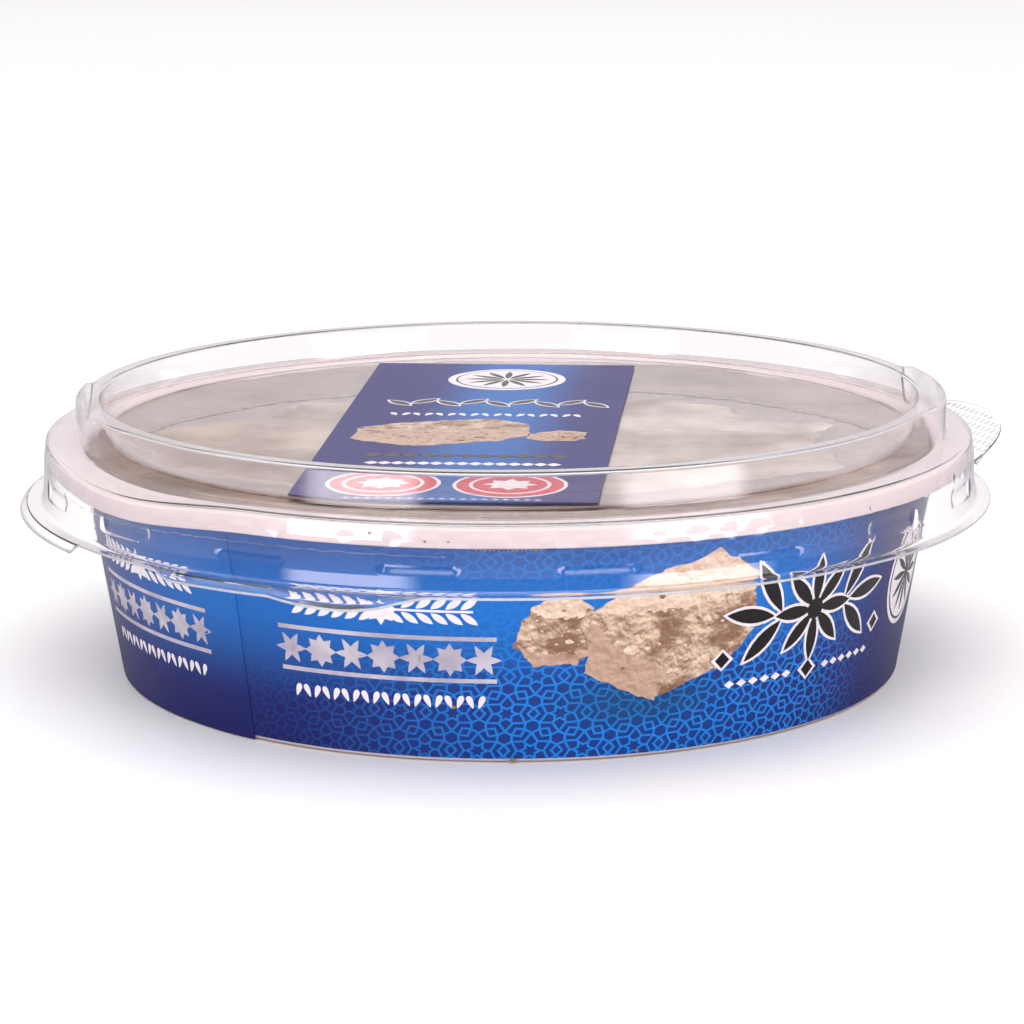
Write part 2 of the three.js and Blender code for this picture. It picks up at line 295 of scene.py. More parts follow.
def white_polypropylene(add, place):
    """PP, injection moulded: milky white with a slight pink cast, satin, light soaks in a
    little; fine pebbling left by the mould."""
    cloud = add("TexNoise", {"Vector": place, "Scale": 45, "Detail": 2})
    tone = add("Mix RGBA", (cloud, "#dacdce", "#e2d6d7"))
    pebble = add("TexNoise", {"Vector": place, "Scale": 1400, "Detail": 2})
    bump = add("Bump", {"Height": pebble, "Distance": 0.00004, "Strength": 0.5})
    return add("BsdfPrincipled", {
        "Base Color": tone, "Roughness": 0.36, "IOR": 1.49, "Subsurface Weight": 0.12,
        "Subsurface Radius": (1, 0.85, 0.8), "Subsurface Scale": 0.0015, "Normal": bump,
    })


def pressed_halva(add, place):
    """Halva, pressed into the tub: dry sesame fibre, warm grey beige and matt. Where it lies
    against the panel it is paler; round that it lies lower and is painted greyer and darker,
    partly as shade in the gap under the lid, partly as oil."""
    contact = add("Attribute", give=2, attribute_name="contact")
    fibre = add("TexNoise", {"Vector": place, "Scale": 420, "Detail": 5, "Roughness": 0.6})
    lump = add("TexNoise", {"Vector": place, "Scale": 75, "Detail": 5, "Roughness": 0.6})
    spread = add("MapRange", (lump, 0.34, 0.64))
    # The lower halva is painted darker: partly shade under the lid, partly oil.
    sunk = add("Mix RGBA", (spread, "#7c6a61", "#a8968e"))
    flat = add("Mix RGBA", (spread, "#a08e82", "#dacfc6"))
    tone = add("Mix RGBA", (contact, sunk, flat))
    # A painted brown shadow line runs along the ragged edge of the contact.
    rim = add("Math COMPARE", (contact, 0.45, 0.32))
    contact_edge_shadow = add("Math MULTIPLY", (rim, 0.75))
    tone = add("Mix RGBA", (contact_edge_shadow, tone, "#6d5546"))
    speck = add("MapRange", (fibre, 0.25, 0.42))
    specked_and_shaded = add("Mix RGBA", (speck, "#c9b19c", tone))
    # Painted shade: it is darker and browner towards the left, where less light falls.
    side = add("SeparateXYZ", (place,))
    left_shade = add("MapRange", (side, -0.012, -0.058))
    specked_and_shaded = add("Mix RGBA", (left_shade, specked_and_shaded, "#d6c4b6"), blend_type="MULTIPLY")
    bump = add("Bump", {"Height": fibre, "Distance": 0.0003, "Strength": 0.6})
    return add("BsdfPrincipled", {
        "Base Color": specked_and_shaded, "Roughness": 0.72, "IOR": 1.45, "Subsurface Weight": 0.1,
        "Subsurface Radius": (1, 0.7, 0.5), "Subsurface Scale": 0.001, "Normal": bump,
    })


# One star-and-hexagon lattice: stars 7.0 degrees apart in rows 5.3 mm high, leaning a little.
STAR_PITCH = 7.0
STAR_ROW = 5.3
STAR_BEARING = 2.65
STAR_HEIGHT = 1.8
STAR_LEAN = 0.06
LINE_WIDTH = 0.048  # in star pitches
# Its lines inside one twelfth of a star's cell: where each starts and ends.
LATTICE_LINES = (
    ((0.19, 0.0), (0.0953, 0.055)),
    ((0.255, 0.0), (0.364, 0.21)),
    ((0.364, 0.21), (0.5, 0.134)),
    ((0.395, 0.0), (0.5, 0.134)),
)


def lattice(add, across, up, width):
    """Star lattice as 0 to 1, from a place counted in star pitches."""
    half = (0.5, math.sqrt(3) / 2, 0)
    cell = (1, math.sqrt(3), 1)
    spot = add("CombineXYZ", (across, up, 0.5))
    ways = []
    for shift in ((0, 0, 0), half):
        moved = add("VectorMath SUBTRACT", (spot, shift))
        wrapped = add("VectorMath WRAP", (moved, cell, (0, 0, 0)))
        centred = add("VectorMath SUBTRACT", (wrapped, half))
        ways.append(add("VectorMath MULTIPLY", (centred, (1, 1, 0))))
    spans = [add("VectorMath LENGTH", (way,)) for way in ways]
    second = add("Math LESS_THAN", (spans[1], spans[0]))
    near = add("Mix VECTOR", (second, ways[0], ways[1]))
    span = add("Math MINIMUM", (spans[0], spans[1]))
    x = add("SeparateXYZ", (near,))
    y = add("SeparateXYZ", (near,), give=1)
    turn = add("Math ARCTAN2", (y, x))
    folded = add("Math PINGPONG", (turn, math.pi / 6))
    along = add("Math COSINE", (folded,))
    aside = add("Math SINE", (folded,))
    px = add("Math MULTIPLY", (span, along))
    py = add("Math MULTIPLY", (span, aside))
    # The short line along the axis, between the star's point and the first band.
    short = add("Math COMPARE", (px, 0.222, 0.034))
    off_short = add("Math SUBTRACT", (1.0, short))
    nearest = add("Math ADD", (py, off_short))
    folded_spot = add("CombineXYZ", (px, py, 0.0))
    for (ax, ay), (bx, by) in LATTICE_LINES:
        length = math.hypot(bx - ax, by - ay)
        aim = ((ay - by) / length, (bx - ax) / length, 0)
        reach = add("VectorMath DOT_PRODUCT", (folded_spot, aim))
        past = add("Math SUBTRACT", (reach, ax * aim[0] + ay * aim[1]))
        gap = add("Math ABSOLUTE", (past,))
        nearest = add("Math MINIMUM", (nearest, gap))
    return add("MapRange SMOOTHSTEP", (nearest, width * 0.62, width * 0.3))


def film_gloss(add, tone, place):
    """The shared finish of everything printed on the wrap: a glossy film, a little uneven."""
    uneven = add("TexNoise", {"Vector": place, "Scale": 55, "Detail": 2})
    bump = add("Bump", {"Height": uneven, "Distance": 0.0003, "Strength": 0.18})
    return add("BsdfPrincipled", {
        "Base Color": tone, "Roughness": 0.26, "IOR": 1.42, "Normal": bump,
    })


def printed_film(add, place):
    """Polypropylene film, gravure printed: a blue ground that runs to navy at the foot and
    the ends, painted darker near the top as shade under the rim, with a star lattice that is
    strong low in the middle; glossy."""
    uv = add("UVMap", uv_map="print")
    bearing = add("SeparateXYZ", (uv,))
    height = add("SeparateXYZ", (uv,), give=1)
    row = add("Math SUBTRACT", (height, STAR_HEIGHT))
    rows = add("Math DIVIDE", (row, STAR_ROW))
    step = add("Math SUBTRACT", (bearing, STAR_BEARING))
    steps = add("Math DIVIDE", (step, STAR_PITCH))
    across = add("Math MULTIPLY_ADD", (rows, -STAR_LEAN, steps))
    up = add("Math MULTIPLY", (rows, math.sqrt(3) / 2))
    line = lattice(add, across, up, LINE_WIDTH)
    # The bright middle lies between bearings -20 and 50, and again at the end of the strip.
    from_left = add("MapRange SMOOTHSTEP", (bearing, -46, 4, 0.72))
    from_right = add("MapRange SMOOTHSTEP", (bearing, 62, 34))
    end_piece = add("MapRange SMOOTHSTEP", (bearing, 276, 318, 0, 0.8))
    between = add("Math MULTIPLY", (from_left, from_right))
    middle = add("Math MAXIMUM", (between, end_piece))
    off_foot = add("MapRange SMOOTHSTEP", (height, 5, 20))
    # Near the top the ground is painted darker, as shade under the rim.
    under_rim_shade = add("MapRange SMOOTHSTEP", (height, 32, 22, 0.55))
    risen = add("Math MULTIPLY", (off_foot, middle))
    upper = add("Math MULTIPLY", (risen, under_rim_shade))
    glow_left = add("MapRange SMOOTHSTEP", (bearing, -34, 8))
    glow_right = add("MapRange SMOOTHSTEP", (bearing, 62, 24))
    wide_glow = add("Math MULTIPLY", (glow_left, glow_right))
    glow = add("Math MULTIPLY", (wide_glow, 0.38))
    bright = add("Math MAXIMUM", (upper, glow))
    ground = add("Mix RGBA", (bright, "#191f63", "#0f70c8"))
    # The lattice: strong low between 0 and 45, fading to both sides and upwards.
    lines_left = add("MapRange SMOOTHSTEP", (bearing, -38, 6, 0.16))
    lines_right = add("MapRange SMOOTHSTEP", (bearing, 64, 40))
    sideways = add("Math MULTIPLY", (lines_left, lines_right))
    low_down = add("MapRange SMOOTHSTEP", (height, 22, 9, 0.2))
    high_band = add("MapRange SMOOTHSTEP", (height, 22, 28, 0, 0.42))
    rows_seen = add("Math MAXIMUM", (low_down, high_band))
    strength = add("Math MULTIPLY", (sideways, rows_seen))
    dark = add("Mix RGBA", (bright, "#191760", "#1458ae"))
    lit = add("Mix RGBA", (sideways, "#1b4096", "#1780dc"))
    pattern = add("Mix RGBA", (line, dark, lit))
    tone = add("Mix RGBA", (strength, ground, pattern))
    # Soft green-blue shade under the pictured lumps.
    off = add("VectorMath SUBTRACT", (uv, (17, 8.5, 0)))
    squashed = add("VectorMath MULTIPLY", (off, (0.07, 0.2, 0)))
    away = add("VectorMath LENGTH", (squashed,))
    shade = add("MapRange SMOOTHSTEP", (away, 1.1, 0.2, 0, 0.55))
    tone = add("Mix RGBA", (shade, tone, "#0f4a6e"))
    # Along the top the cut runs unevenly through an unprinted margin a tenth of a mm wide.
    level = add("Math MULTIPLY_ADD", (bearing, LABEL_SKEW / LABEL_SWEEP, height))
    nibble = add("TexNoise", {"Vector": place, "Scale": 1300, "Detail": 2})
    cut = add("Math MULTIPLY_ADD", (nibble, 0.4, level))
    top = LABEL_TOP + LABEL_SKEW * LABEL_START / LABEL_SWEEP
    bare = add("MapRange SMOOTHSTEP", (cut, top + 0.06, top + 0.1))
    tone = add("Mix RGBA", (bare, tone, "#d6d6e2"))
    return film_gloss(add, tone, place)


def printing_ink(add, place, light, dark, scale):
    """Gravure ink under the film: one even colour with the slight mottle of the print, of
    scale cells in a metre."""
    grain = add("TexNoise", {"Vector": place, "Scale": scale, "Detail": 4, "Roughness": 0.65})
    spread = add("MapRange", (grain, 0.36, 0.62))
    tone = add("Mix RGBA", (spread, dark, light))
    return film_gloss(add, tone, place)


def pictured_halva(add, place, light, dark, hollow):
    """Halva printed in gravure: its dry crumb lit from above, with brown hollows between the
    grains where the block broke. hollow is how much of it they take."""
    # Crumb of 0.5 to 2 mm; its shading is how much it rises over a third of a millimetre.
    above = add("Mapping", {"Vector": place, "Location": (0.0001, 0, 0.00033)})
    rises = [
        add("TexNoise", {"Vector": spot, "Scale": 430, "Detail": 5, "Roughness": 0.62})
        for spot in (place, above)
    ]
    slope = add("Math SUBTRACT", (rises[0], rises[1]))
    lit = add("MapRange", (slope, -0.1, 0.08))
    tone = add("Mix RGBA", (lit, dark, light))
    # Hollows 2 to 5 mm across, deeper in the middle.
    open_place = add("Mapping", {"Vector": place, "Scale": (1, 1, 1.5)})
    opened = add("TexNoise", {"Vector": open_place, "Scale": 185, "Detail": 5, "Roughness": 0.6})
    sunk = add("MapRange", (opened, hollow + 0.06, hollow - 0.05, 0, 0.85))
    tone = add("Mix RGBA", (sunk, tone, "#7d5741"))
    return film_gloss(add, tone, place)


def printed_paper(add, place):
    """Coated label paper, offset printed: violet navy with a bright blue stripe down the
    middle, semi-gloss."""
    uv = add("UVMap", uv_map="print")
    across = add("SeparateXYZ", (uv,))
    along = add("SeparateXYZ", (uv,), give=1)
    off = add("Math SUBTRACT", (across, 2.5))
    away = add("Math ABSOLUTE", (off,))
    stripe = add("MapRange SMOOTHSTEP", (away, 13, 2))
    low = add("MapRange", (along, -56, 10, 0.72))
    share = add("Math MULTIPLY", (stripe, low))
    tone = add("Mix RGBA", (share, "#221f6c", "#1a64b0"))
    fibre = add("TexNoise", {"Vector": place, "Scale": 300, "Detail": 3})
    bump = add("Bump", {"Height": fibre, "Distance": 0.00008, "Strength": 0.4})
    return add("BsdfPrincipled", {
        "Base Color": tone, "Roughness": 0.36, "IOR": 1.36, "Normal": bump,
    })


def broken_grain(add, place, dark, light):
    """Grain broken off the halva, dry and matt, in two tones."""
    grain = add("TexNoise", {"Vector": place, "Scale": 1500, "Detail": 2})
    tone = add("Mix RGBA", (grain, dark, light))
    return add("BsdfPrincipled", {"Base Color": tone, "Roughness": 0.7})


PET = material("pet_sheet_thermoformed", clear_pet)
PET_EDGE = material("pet_sheet_cut_edge", cut_pet)
POLYPROPYLENE = material("polypropylene_moulded_white", white_polypropylene)
HALVA = material("halva_pressed_sesame", pressed_halva)
FILM = material("film_gravure_printed_blue", printed_film)
PAPER = material("label_paper_offset_printed", printed_paper)
CRUMB = material("sesame_crumb_toasted", broken_grain, "#5c4a2c", "#b3945c")
PALE_GRAIN = material("pale_grain_dry", broken_grain, "#c9c3c4", "#f2eeee")
WHITE_INK = material("ink_white", printing_ink, "#f3ecee", "#e6dde2", 900)
SILVER_INK = material("ink_silver_grey", printing_ink, "#c9c3cc", "#aaa4b4", 160)
BLACK_INK = material("ink_black", printing_ink, "#1d1a1c", "#141214", 900)
RED_INK = material("ink_red", printing_ink, "#d23446", "#c02a3e", 600)
CRUST_LIGHT = material("ink_halva_light", pictured_halva, "#efdac6", "#cbab90", 0.3)
CRUST_MIDDLE = material("ink_halva_middle", pictured_halva, "#e4cbb0", "#94705a", 0.475)
CRUST_DARK = material("ink_halva_shade", pictured_halva, "#c9aa94", "#ab8a76", 0.34)


# --- tub
def build_tub():
    """Thin cone on a flat floor; the rim turns outwards and down."""
    floor, corner = 1.0, 1.8
    plate = RIM_TOP - 0.9  # underside of the rim
    fold = RIM_RADIUS - 0.9  # inside of its turned-down edge
    inner = wall_radius(floor) - WALL
    profile = [
        (0, 0), (BASE_RADIUS - 0.7, 0), (BASE_RADIUS - 0.35, 0.1),
        (wall_radius(0.3) - 0.08, 0.32), (wall_radius(0.7), 0.7),
        *((wall_radius(z), z) for z in (8, 16, 24, 30)),
        (wall_radius(plate) - 0.02, plate - 0.15), (wall_radius(plate) + 0.2, plate),
        (fold, plate), (fold, RIM_TOP - 2.45), (fold + 0.15, RIM_TOP - 2.6),
        (RIM_RADIUS - 0.15, RIM_TOP - 2.6), (RIM_RADIUS, RIM_TOP - 2.45),
        (RIM_RADIUS, RIM_TOP - 0.6), (RIM_RADIUS - 0.12, RIM_TOP - 0.25),
        (RIM_RADIUS - 0.5, RIM_TOP), (RIM_FLAT + 0.6, RIM_TOP), (RIM_FLAT, RIM_TOP - 0.12),
        (61.9, RIM_TOP - 0.45), (61.45, RIM_TOP - 1.1),
        (wall_radius(floor + corner) - WALL, floor + corner), (inner - 0.35, floor + 0.5),
        (inner - corner, floor), (0, floor),
    ]
    bm = turned(profile, 360)
    for vert in bm.verts:
        share = smooth(vert.co.xy.length, wall_radius(SAG["above"]), RIM_FLAT)
        if vert.co.z > SAG["above"] + 0.5:
            vert.co.z -= sag(bearing_of(vert.co)) * share
    piece("tub_moulded", bm, [POLYPROPYLENE], "tub", sharp=32)


# --- halva
CONTACT_CENTRE = (0, -14)
CONTACT_REACH = (49.5, 36)


def contact_share(x, y):
    """1 where the halva lies against the panel, 0 where it is lower; the edge is ragged."""
    ragged = 0.2 * noise.noise(Vector((x, y, 3)) * 0.055)
    ragged += 0.09 * noise.noise(Vector((x, y, 9)) * 0.14)
    ragged += 0.04 * noise.noise(Vector((x, y, 5)) * 0.35)
    across = (x - CONTACT_CENTRE[0]) / CONTACT_REACH[0]
    along = (y - CONTACT_CENTRE[1]) / CONTACT_REACH[1]
    return 1 - smooth(math.hypot(across, along) + ragged, 0.985, 1.015)


def build_halva():
    """One block that fills the tub; it reaches just into the panel where it touches it."""
    top = PANEL_TOP - SHEET + 0.02
    side = WALL + 0.25
    low = 1.25
    profile = [(0, low), (54, low), (wall_radius(3.3) - side, 3.3)]
    profile += [(wall_radius(z) - side, z) for z in (18, 31.5, 32.6)]
    profile += [(61.15, 33.3), (60.9, 33.5)]
    profile += [(60.6 - 0.9 * k, top) for k in range(67)] + [(0, top)]
    bm = turned(profile, 360)
    share = bm.verts.layers.float.new("contact")
    for vert in bm.verts:
        x, y, z = vert.co
        if z < 33:
            continue
        touch = contact_share(x, y)
        radius = math.hypot(x, y)
        spot = Vector((x, y, 0))
        dip = 0.45 + 0.5 * noise.noise(spot * 0.09) + 0.22 * noise.noise(spot * 0.5)
        edge = 0.55 * smooth(radius, 56, 61)
        vert.co.z -= (1 - touch) * max(dip, 0.12) + edge
        vert[share] = touch
    piece("halva_pressed", bm, [HALVA], "halva")


# --- lid
SKIRT_BEND = 32.1  # above it the skirt leans in, and catches the light in a band
FLARE_TOP = 27.6  # where the skirt starts to flare towards the brim
LUG_COLUMNS = ((0, 0), (4, 3.5), (14, 5.1), (20, 10))
LUG_ROWS = (27.65, 27.85, 28.1, 28.4, 28.7, 29.1, 29.5, 29.8, 30.1, 30.35, 30.55, 31.0,
            31.3, 31.7, 32.1, 32.5, 32.9)
BRIM_ROWS = (68.9, 69.35, 69.6, 69.75)
PANEL_ROWS = (14, 28, 42, 52)
# Heights and radii between which points belong to the lugs, wrinkles, pads and skirt.
LUG_BAND = (27, 31.2)
WRINKLE_BAND = (31, 33.3)
PAD_BAND = (60.3, 64.5)
SKIRT_INSIDE = 66
# Where the form has a step: the bearings on its two sides. Columns close up beside it.
STEPS = [(back, back + math.copysign(0.6, back)) for back, *_ in PADS]
STEPS += [(LIPS[0][1] - 0.05, LIPS[0][1] + 0.1), (LIPS[0][0] + 0.05, LIPS[0][0] - 0.1)]
CLOSE_UP = 0.8  # over how many degrees
CREASE = random.Random(4)
WRINKLES = [(5 * i + CREASE.uniform(-2, 2), CREASE.uniform(31.1, 31.6)) for i in range(72)]


def lid_profile():
    """Closed section of the sheet, with the rows that the lugs, tabs and lip need."""
    corners = [
        (0, PANEL_TOP), (PANEL_RADIUS, PANEL_TOP, 0.8, 5), (59.2, RING_TOP, 0.5, 6),
        (RING_OUTER, RING_TOP, 0.7, 7), (RING_FOOT_OUTER, PANEL_TOP, 0.8, 5),
        (SKIRT_TOP - 0.36, PANEL_TOP, 0.6, 6), (SKIRT_TOP, SKIRT_BEND, 2, 3),
        (SKIRT_TOP + 0.2, FLARE_TOP, 2, 2),
        (SKIRT_FOOT + 0.2, BRIM_TOP, 0.6, 5),
        (BRIM_RADIUS - 0.12, BRIM_TOP),
    ]
    section = []
    for depth in (0, SHEET):
        path = rounded_path(corners, depth)
        rows = [path[0]]
        for a, b in zip(path, path[1:]):
            marks = []
            if a.y == b.y:
                marks = [(r - a.x) / (b.x - a.x) for r in PANEL_ROWS + BRIM_ROWS]
            elif a.x > SKIRT_INSIDE and a.y > FLARE_TOP and b.y < 34:
                marks = [(z - a.y) / (b.y - a.y) for z in reversed(LUG_ROWS)]
            elif a.y - b.y > 3 or b.y - a.y > 3:
                marks = [1 / 3, 2 / 3]
            rows += [a.lerp(b, mark) for mark in marks if 0.01 < mark < 0.99] + [b]
        section.append(rows)
    edge = [(BRIM_RADIUS, BRIM_TOP - 0.14), (BRIM_RADIUS, BRIM_TOP - SHEET + 0.14)]
    points = [tuple(p) for p in section[0]] + edge
    return points + [tuple(p) for p in reversed(section[1])]


def lid_bearing(bearing):
    """Draws the evenly spun columns together at the ends of every lug."""
    offset = (bearing - LUG_FIRST + LUG_PITCH / 2) % LUG_PITCH - LUG_PITCH / 2
    column = abs(offset) * 40 / LUG_PITCH
    for (c0, b0), (c1, b1) in zip(LUG_COLUMNS, LUG_COLUMNS[1:]):
        if column <= c1 + 1e-6:
            moved = lerp(b0, b1, (column - c0) / (c1 - c0))
            break
    return bearing - offset + math.copysign(moved, offset)


def turn_between(bearing, middle):
    return (bearing - middle + 180) % 360 - 180


def lip_strength(bearing):
    """How far the brim's edge is turned down at a bearing, from 0 to 1."""
    share = 0
    for start, end, rise, fall in LIPS:
        share += smooth(bearing, start, start + rise) * (1 - smooth(bearing, end - fall, end))
    return share


def wrinkle(bearing, height):
    """Depth of the small fang-shaped dents that forming draws into the skirt below the
    shoulder; they widen and deepen upwards."""
    depth = 0
    for at, low in WRINKLES:
        rise = height - low
        if rise > 0:
            across = abs(turn_between(bearing, at)) / (0.55 + 0.3 * rise)
            depth = max(depth, 0.19 * rise * min(2.5 * (1 - across), 1))
    return depth * (1 - smooth(height, 32.3, 32.7))


def lid_form(bearing, radius, height):
    """Moves a point of the plain section to where lugs, pads, lips and thumb tab put it."""
    if radius > SKIRT_INSIDE and LUG_BAND[0] < height < LUG_BAND[1]:
        offset = abs(turn_between(bearing, LUG_FIRST) % LUG_PITCH)
        offset = min(offset, LUG_PITCH - offset)
        along = offset * math.radians(67.6) - LUG_LENGTH / 2 + LUG_HALF
        across = abs(height - LUG_MIDDLE)
        inside = LUG_HALF - math.hypot(max(along, 0), across)
        radius -= LUG_DEPTH * smooth(inside, -0.35, 1.1)
    if radius > SKIRT_INSIDE and WRINKLE_BAND[0] < height < WRINKLE_BAND[1]:
        radius -= wrinkle(bearing, height)
    if height > PANEL_TOP - 0.6 and PAD_BAND[0] < radius < PAD_BAND[1]:
        for back, full, front, reach in PADS:
            hand = math.copysign(1, back)
            if front * hand < bearing * hand < back * hand + 0.01:
                wall = lerp(RING_FOOT_OUTER, RING_OUTER, (height - PANEL_TOP) / RING_RISE)
                proud = max(reach - wall, 0)
                radius += proud * smooth(bearing * hand, front * hand, full * hand)
    if radius > RING_FOOT_OUTER and height > FLARE_TOP:
        outward = smooth(radius, RING_FOOT_OUTER + 0.3, SKIRT_TOP - 0.8)
        height -= sag(bearing) * outward * min((height - FLARE_TOP) / 6, 1)
    if radius > BRIM_FOLD - 0.1 and height < BRIM_TOP + 0.01:
        lip, thumb = lip_strength(bearing), swell(bearing, THUMB)
        out = min((radius - BRIM_FOLD) / 0.3, 1)
        if lip > 0:
            crest = (BRIM_RADIUS + 0.02 - BRIM_FOLD) * lip
            radius = lerp(radius, BRIM_FOLD, lip) + crest
            radius += out * (LIP["reach"] * lip + THUMB["reach"] * thumb)
            height -= out * (LIP["drop"] * lip + THUMB["drop"] * thumb)
    return radius, height


def build_lid():
    """The clear sheet: panel, hollow stacking ring, shoulder, skirt with lugs, and brim."""
    bm = turned(lid_profile(), 720)
    for face in bm.faces:
        if min(vert.co.xy.length for vert in face.verts) > BRIM_RADIUS - 0.13:
            face.material_index = 1
    columns = {}
    for vert in bm.verts:
        if vert.co.xy.length > 1:
            columns.setdefault(round(bearing_of(vert.co) * 2), []).append(vert)
    places = {key: lid_bearing(key / 2) for key in columns}
    for pair in STEPS:
        # The column nearest on each side goes to the step; those beyond it close up in order.
        middle, half = sum(pair) / 2, abs(pair[0] - pair[1]) / 2
        offset = {key: turn_between(place, middle) for key, place in places.items()}
        before = max(off for off in offset.values() if off <= 0)
        after = min(off for off in offset.values() if off > 0)
        for key, off in offset.items():
            if abs(off) < CLOSE_UP:
                hand, near = (1, after) if off > 0 else (-1, before)
                share = (off - near) / (hand * CLOSE_UP - near)
                places[key] = middle + hand * lerp(half, CLOSE_UP, share)
    for key, verts in columns.items():
        for vert in verts:
            bearing = turn_between(places[key], 0)
            radius, height = lid_form(bearing, vert.co.xy.length, vert.co.z)
            vert.co = polar(bearing, radius, height)
    piece("lid_clear", bm, [PET, PET_EDGE], "lid", sharp=40)


def build_pull_tab():
    """Rounded tab at the back right, with a fine crossed grip pattern, bent upwards."""
    bm = bmesh.new()
    bmesh.ops.create_grid(bm, x_segments=132, y_segments=46, size=1)
    half, root = GRIP["width"] / 2, 0.42
    for vert in bm.verts:
        x, out = vert.co.x, (1 - vert.co.y) / 2
        width = half * (1 - 0.1 * out)
        reach = GRIP["length"] * (1 - abs(x) ** 2.5) ** 0.4
        reach = max(reach, root + 0.01)
        vert.co = Vector((x * width, -lerp(root, reach, out), 0))
    pitch = GRIP["pitch"]
    for vert in thicken(bm, SHEET - 0.06):
        x, y = vert.co.x, vert.co.y
        rim = smooth(-y, 1.4, 2.6) * smooth(half - abs(x), 0.8, 2.2)
        rim *= smooth(GRIP["length"] * (1 - (abs(x) / half) ** 2.5) ** 0.4 + y, 0.5, 1.2)
        row = math.floor(y / pitch)
        shift = 0.5 * pitch * (row % 2)
        in_x = abs((x + shift) / pitch - round((x + shift) / pitch)) * pitch
        in_y = abs(y / pitch - round(y / pitch)) * pitch
        vert.co.z -= GRIP["groove"] * rim * (1 - smooth(min(in_x, in_y), 0.1, 0.32))
    lift = Matrix.Rotation(math.radians(-GRIP["lift"]), 3, "X")
    bmesh.ops.rotate(bm, verts=bm.verts, cent=(0, 0, 0), matrix=lift)
    shift = (0, -(BRIM_RADIUS - 0.36), BRIM_TOP - SHEET + 0.02)
    bmesh.ops.translate(bm, verts=bm.verts, vec=shift)
    turn = Matrix.Rotation(math.radians(GRIP["bearing"]), 3, "Z")
    bmesh.ops.rotate(bm, verts=bm.verts, cent=(0, 0, 0), matrix=turn)
    piece("lid_pull_tab", bm, [PET], "lid", sharp=40)


# --- printed shapes
def lens(count, t):
    return math.cos(t), math.sin(t) * abs(math.sin(t))


def drop(count, t):
    return math.cos(t), math.sin(t) * (0.75 + 0.4 * math.cos(t))


def disc(count, t):
    return math.cos(t), math.sin(t)


def star(count, t):
    inner = 0.66 if round(t / (2 * math.pi) * count) % 2 else 1
    return inner * math.cos(t), inner * math.sin(t)


def bar(count, t):
    return math.copysign(1, math.cos(t)), math.copysign(1, math.sin(t))


MOTIFS = {"leaf": (20, lens, 0), "seed": (14, drop, 0), "disc": (36, disc, 0),
          "star": (16, star, 0), "lozenge": (4, disc, 0), "bar": (4, bar, math.pi / 4)}
LAYER = 0.014  # each ink lies this much over the one beneath
INK_FOOT = -0.02  # and reaches this far into the label


class Print:
    """Flat shapes in one ink, drawn in millimetres across and up, then laid on a label."""

    def __init__(self, name, ink):
        self.name, self.ink = name, ink
        self.bm = bmesh.new()

    def shape(self, kind, x, y, half_length, half_width, turn=0, grow=0, layer=1):
        """One motif: its middle, half sizes, turn in degrees and ink layer; grow is an
        outline's extra width."""
        count, form, start = MOTIFS[kind]
        made = bmesh.ops.create_circle(self.bm, cap_ends=True, segments=count, radius=1)
        a, b = half_length + grow * (1.5 if kind in ("leaf", "lozenge") else 1), half_width + grow
        spin = math.radians(turn)
        for i, vert in enumerate(made["verts"]):
            u, v = form(count, start + 2 * math.pi * i / count)
            u, v = u * a, v * b
            vert.co = Vector((x + u * math.cos(spin) - v * math.sin(spin),
                              y + u * math.sin(spin) + v * math.cos(spin), layer * LAYER))

    def facet(self, corners, seed, cuts, rough, layer):
        """A patch with a broken edge, from a few corners; seed draws its roughness."""
        verts = [self.bm.verts.new((x, y, layer * LAYER)) for x, y in corners]
        face = self.bm.faces.new(verts)
        bmesh.ops.subdivide_edges(self.bm, edges=face.edges[:], cuts=cuts)
        for vert in face.verts if face.is_valid else ():
            spot = Vector((vert.co.x, vert.co.y, seed))
            vert.co.x += rough * noise.noise(spot * 0.9) * 2
            vert.co.y += rough * noise.noise(spot * 0.9 + Vector((7, 3, 1))) * 2

    def lay(self, slot, place, cut_every=None):
        """Cuts the shapes into strips that can bend, gives them thickness and lays them."""
        bm = self.bm
        if cut_every:
            xs = [vert.co.x for vert in bm.verts]
            mark = math.ceil(min(xs) / cut_every) * cut_every
            while mark < max(xs):
                near = [f for f in bm.faces if min(v.co.x for v in f.verts) < mark
                        < max(v.co.x for v in f.verts)]
                parts = {e for f in near for e in f.edges} | {v for f in near for v in f.verts}
                bmesh.ops.bisect_plane(bm, geom=near + list(parts), dist=1e-4,
                                       plane_co=(mark, 0, 0), plane_no=(1, 0, 0))
                mark += cut_every
        for face in bm.faces:
            if face.normal.z < 0:
                face.normal_flip()
        for vert in thicken(bm, -1):
            vert.co.z = INK_FOOT
        for vert in bm.verts:
            vert.co = place(vert.co)
        piece(self.name, bm, [self.ink])


# --- wrap label
ARC = math.radians(1) * 59.6  # millimetres of label for each degree of bearing


def on_wrap(point, lift=LABEL_SHEET):
    """Place on the strip (millimetres along from bearing 0, height, lift) to a place in 3-D."""
    bearing = point.x / ARC
    share = (bearing - LABEL_START) / LABEL_SWEEP
    climb = LABEL_STEP * smooth(LABEL_SWEEP * share, 357, 360)
    radius = wall_radius(point.y) + LABEL_OFF + climb + lift + point.z
    return polar(bearing, radius, point.y)


def build_wrap():
    """One strip wrapped once round the wall, its end lying over its start."""
    bm = bmesh.new()
    bmesh.ops.create_grid(bm, x_segments=420, y_segments=10, size=0.5)
    thicken(bm, LABEL_SHEET)
    for vert in bm.verts:
        share = vert.co.x + 0.5
        along = (LABEL_START + LABEL_SWEEP * share) * ARC
        level = lerp(LABEL_BOTTOM, LABEL_TOP, vert.co.y + 0.5) - LABEL_SKEW * share
        vert.co.x, vert.co.y = along, level
    map_print(bm, ARC)
    for vert in bm.verts:
        vert.co = on_wrap(vert.co, 0)
    piece("wrap_film", bm, [FILM], "wrap_label", sharp=50)


